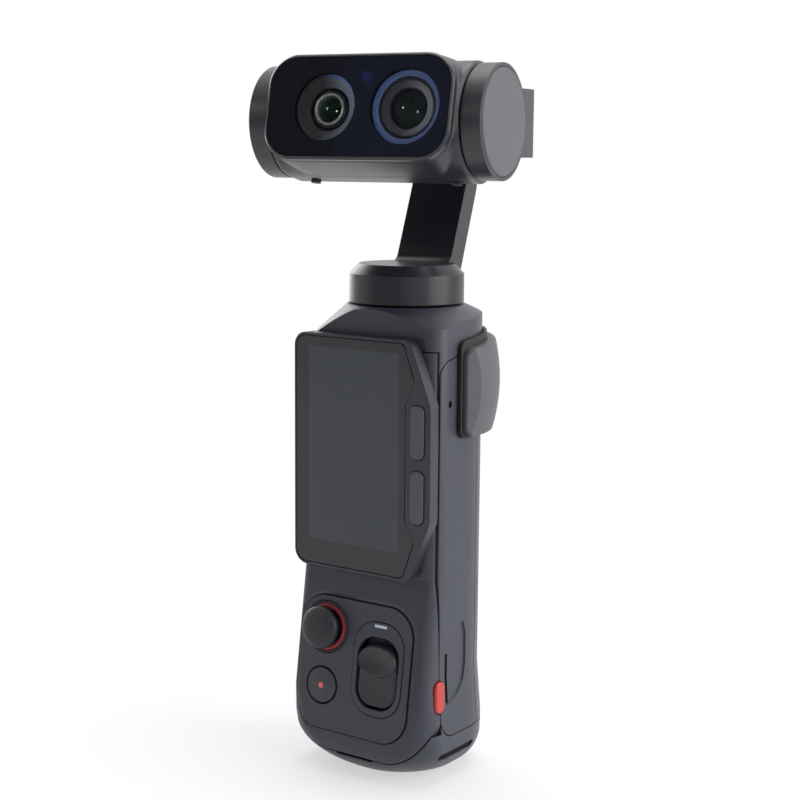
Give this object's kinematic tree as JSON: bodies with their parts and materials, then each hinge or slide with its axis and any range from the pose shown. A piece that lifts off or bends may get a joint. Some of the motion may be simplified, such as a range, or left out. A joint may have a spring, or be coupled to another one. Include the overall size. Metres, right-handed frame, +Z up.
{
  "type": "pocket gimbal camera",
  "caption": "Handheld camera with a twin-lens head on a motorised three-axis gimbal, a detachable screen and control unit, and a rear clip.",
  "frame": {"origin": "middle of the foot at the mouth of the tripod thread, under the pan axis", "axes": "+Z up the handle along the pan axis, -Y the way the screen faces, +X to the right of someone facing the screen"},
  "size_m": [0.0576, 0.0527, 0.1584],
  "materials": {
    "body_plastic": "fine satin texture",
    "screen_frame": "satin",
    "frame_metal": "cast, bead blasted",
    "insert_brass": "machined",
    "screw_steel": "zinc plated",
    "board_green": "solder mask",
    "cell_wrap": "shrink wrap",
    "shield_steel": "rolled",
    "card_plastic": "satin",
    "contact_gold": "plated",
    "release_red": "satin",
    "tub_plastic": "matt",
    "cover_glass": "polished",
    "display": "dark panel",
    "key_rubber": "satin",
    "panel_plastic": "satin",
    "light_white": "light pipe",
    "rocker_plastic": "soft satin",
    "record_plastic": "satin",
    "stick_ring_red": "satin",
    "stick_rubber": "soft touch",
    "stick_cross_steel": "machined",
    "clip_plastic": "soft satin",
    "clip_rubber": "matt",
    "gimbal_metal": "satin",
    "cap_metal": "satin",
    "shaft_steel": "ground",
    "magnet_grey": "plated",
    "winding_copper": "enamelled wire",
    "head_metal": "satin",
    "bezel_metal": "satin edge",
    "lens_cover_glass": "coated",
    "lens_black": "anodised look",
    "lens_ring_blue": "coated",
    "lens_element": "green coating",
    "sensor_violet": "window",
    "bumper_rubber": "matt"
  },
  "bodies": {
    "handle": {"side_cover_right": "body_plastic", "side_cover_left": "body_plastic", "rear_cover": "body_plastic", "top_shell": "body_plastic", "bottom_cap": "body_plastic", "chassis": "frame_metal", "tripod_insert": "insert_brass", "housing_screws": "screw_steel", "main_board": "board_green", "battery_pack": "cell_wrap", "card_reader": "shield_steel", "usb_c_port": "shield_steel", "dock_contacts": "contact_gold", "pan_stator": "winding_copper", "pan_bearings": "shaft_steel"},
    "front_unit": {"unit_shell": "body_plastic", "unit_tub": "tub_plastic", "unit_board": "board_green", "unit_battery": "cell_wrap", "screen_housing": "screen_frame", "screen_glass": "cover_glass", "display_panel": "display", "control_panel": "panel_plastic", "rocker_bezel": "panel_plastic", "status_light": "light_white", "joystick_base": "stick_ring_red"},
    "joystick_gimbal": {"joystick_cross": "stick_cross_steel"},
    "joystick": {"joystick_cap": "stick_rubber"},
    "record_key": {"record_button": "record_plastic"},
    "zoom_key": {"zoom_rocker": "rocker_plastic"},
    "upper_screen_key": {"upper_key": "key_rubber"},
    "lower_screen_key": {"lower_key": "key_rubber"},
    "release_latch": {"release_button": "release_red"},
    "clip": {"rear_clip": "clip_plastic", "clip_liner": "clip_rubber"},
    "card": {"memory_card": "card_plastic"},
    "pan_arm": {"pan_ring": "gimbal_metal", "pan_shaft": "shaft_steel", "pan_magnets": "magnet_grey", "gimbal_arm": "gimbal_metal", "roll_stator": "winding_copper"},
    "roll_yoke": {"yoke_frame": "gimbal_metal", "yoke_caps": "cap_metal", "tilt_stator": "winding_copper", "tilt_bearings": "shaft_steel", "roll_rotor": "gimbal_metal"},
    "camera_head": {"camera_casing": "head_metal", "camera_bezel": "bezel_metal", "camera_glass": "lens_cover_glass", "main_lens_cone": "lens_black", "main_lens_barrel": "lens_black", "main_lens_element": "lens_element", "tele_lens_ring": "lens_ring_blue", "tele_lens_barrel": "lens_black", "tele_lens_element": "lens_element", "sensor_board": "board_green", "focus_sensor": "sensor_violet", "head_rear_cover": "head_metal", "tilt_shafts": "shaft_steel", "head_bumpers": "bumper_rubber"}
  },
  "joints": [
    {"name": "pan", "type": "hinge", "parent": "handle", "child": "pan_arm", "pos_m": [0, 0, 0.11], "axis": [0, 0, 1], "range_deg": [-243, 49]},
    {"name": "roll", "type": "hinge", "parent": "pan_arm", "child": "roll_yoke", "pos_m": [-0.00245, 0.01581, 0.1446], "axis": [-0.153, 0.9882, 0], "range_deg": [-45, 45]},
    {"name": "tilt", "type": "hinge", "parent": "roll_yoke", "child": "camera_head", "pos_m": [0.00158, -0.01018, 0.1446], "axis": [-0.9882, -0.153, 0], "range_deg": [-112, 58]},
    {"name": "front_unit_detach", "type": "slide", "parent": "handle", "child": "front_unit", "axis": [0, -1, 0], "range_m": [0, 0.02]},
    {"name": "joystick_up_down", "type": "hinge", "parent": "front_unit", "child": "joystick_gimbal", "pos_m": [-0.01, -0.01349, 0.03197], "axis": [1, 0, 0], "range_deg": [-10, 10], "stiffness_Nm_per_rad": 0.02},
    {"name": "joystick_left_right", "type": "hinge", "parent": "joystick_gimbal", "child": "joystick", "pos_m": [-0.01, -0.01349, 0.03197], "axis": [0, 0.1386, 0.9903], "range_deg": [-10, 10], "stiffness_Nm_per_rad": 0.02},
    {"name": "record_press", "type": "slide", "parent": "front_unit", "child": "record_key", "axis": [0, 0.9903, -0.1386], "range_m": [0, 0.00035], "stiffness_N_per_m": 600},
    {"name": "zoom_rock", "type": "hinge", "parent": "front_unit", "child": "zoom_key", "pos_m": [0.005, -0.015, 0.0241], "axis": [1, 0, 0], "range_deg": [-7, 7], "stiffness_Nm_per_rad": 0.03},
    {"name": "upper_key_press", "type": "slide", "parent": "front_unit", "child": "upper_screen_key", "axis": [0, 1, 0], "range_m": [0, 0.0004], "stiffness_N_per_m": 600},
    {"name": "lower_key_press", "type": "slide", "parent": "front_unit", "child": "lower_screen_key", "axis": [0, 1, 0], "range_m": [0, 0.0004], "stiffness_N_per_m": 600},
    {"name": "release_press", "type": "slide", "parent": "handle", "child": "release_latch", "axis": [-1, 0, 0], "range_m": [0, 0.0008], "stiffness_N_per_m": 800},
    {"name": "clip_pull", "type": "slide", "parent": "handle", "child": "clip", "axis": [0, 1, 0], "range_m": [0, 0.015]},
    {"name": "card_slide", "type": "slide", "parent": "handle", "child": "card", "axis": [1, 0, 0], "range_m": [-0.0006, 0.008]}
  ]
}
